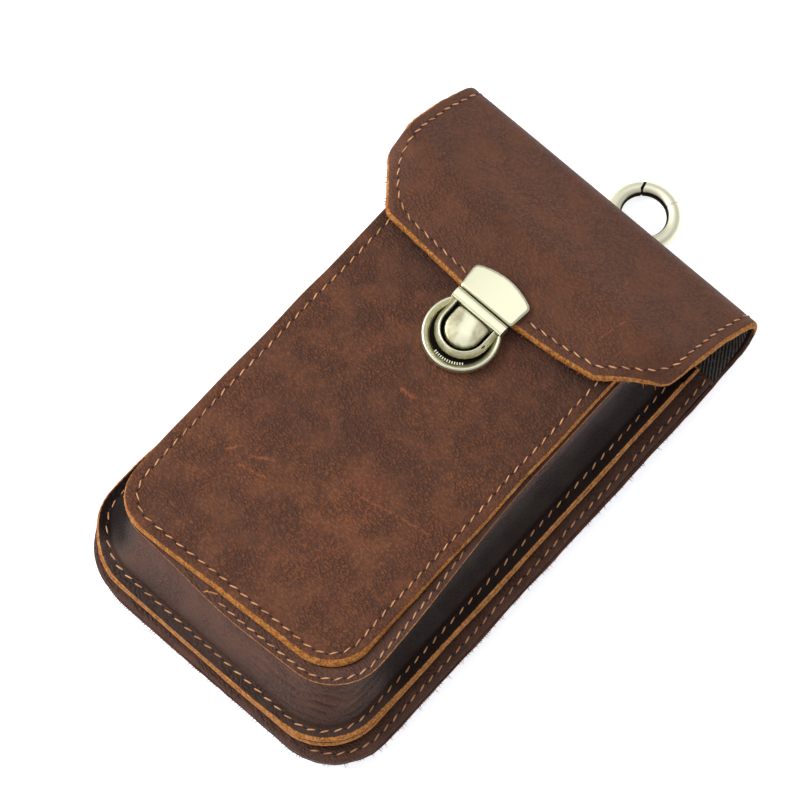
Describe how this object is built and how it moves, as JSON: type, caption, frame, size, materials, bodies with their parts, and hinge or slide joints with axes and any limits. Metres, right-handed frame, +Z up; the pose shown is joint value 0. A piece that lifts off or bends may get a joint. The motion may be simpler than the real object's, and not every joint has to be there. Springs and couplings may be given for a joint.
{
  "type": "belt bag",
  "caption": "Small leather belt bag with a wide front pocket, flat rear pocket, fold-over flap, brass tuck lock, sprung ring and belt loop, lying on its back.",
  "frame": {"origin": "middle of the footprint, on the surface that the bag lies on", "axes": "+X to the bag's right as its front is seen, +Y from the bottom to the fold of the flap, +Z up from the back to the front"},
  "size_m": [0.1148, 0.205, 0.0413],
  "materials": {
    "hide": "oiled pull-up cowhide, waxy, rubbed lighter, raw orange edges",
    "twill": "black twill",
    "old_brass": "antique brass plating, dark in the recesses"
  },
  "bodies": {
    "bag": {"back_flap": "hide", "flap_lining": "twill", "rear_gusset": "hide", "middle_panel": "hide", "front_gusset": "hide", "front_panel": "hide", "belt_loop": "hide", "ring_tab": "hide", "lock_base": "old_brass", "lock_plate": "old_brass"},
    "button": {"lock_button": "old_brass"},
    "ring": {"ring": "old_brass"},
    "gate": {"ring_gate": "old_brass"}
  },
  "joints": [
    {"name": "button_slide", "type": "slide", "parent": "bag", "child": "button", "axis": [0, -1, 0], "range_m": [0, 0.0018], "stiffness_N_per_m": 600, "springref_m": -0.001},
    {"name": "ring_swing", "type": "hinge", "parent": "bag", "child": "ring", "pos_m": [0.00654, 0.08183, 0.00383], "axis": [1, 0, 0], "range_deg": [-110, 55]},
    {"name": "gate_swing", "type": "hinge", "parent": "ring", "child": "gate", "pos_m": [0.01124, 0.09928, 0.00203], "axis": [0, 0.1024, 0.9947], "range_deg": [0, 32], "stiffness_Nm_per_rad": 0.01, "springref_deg": -17.19}
  ]
}
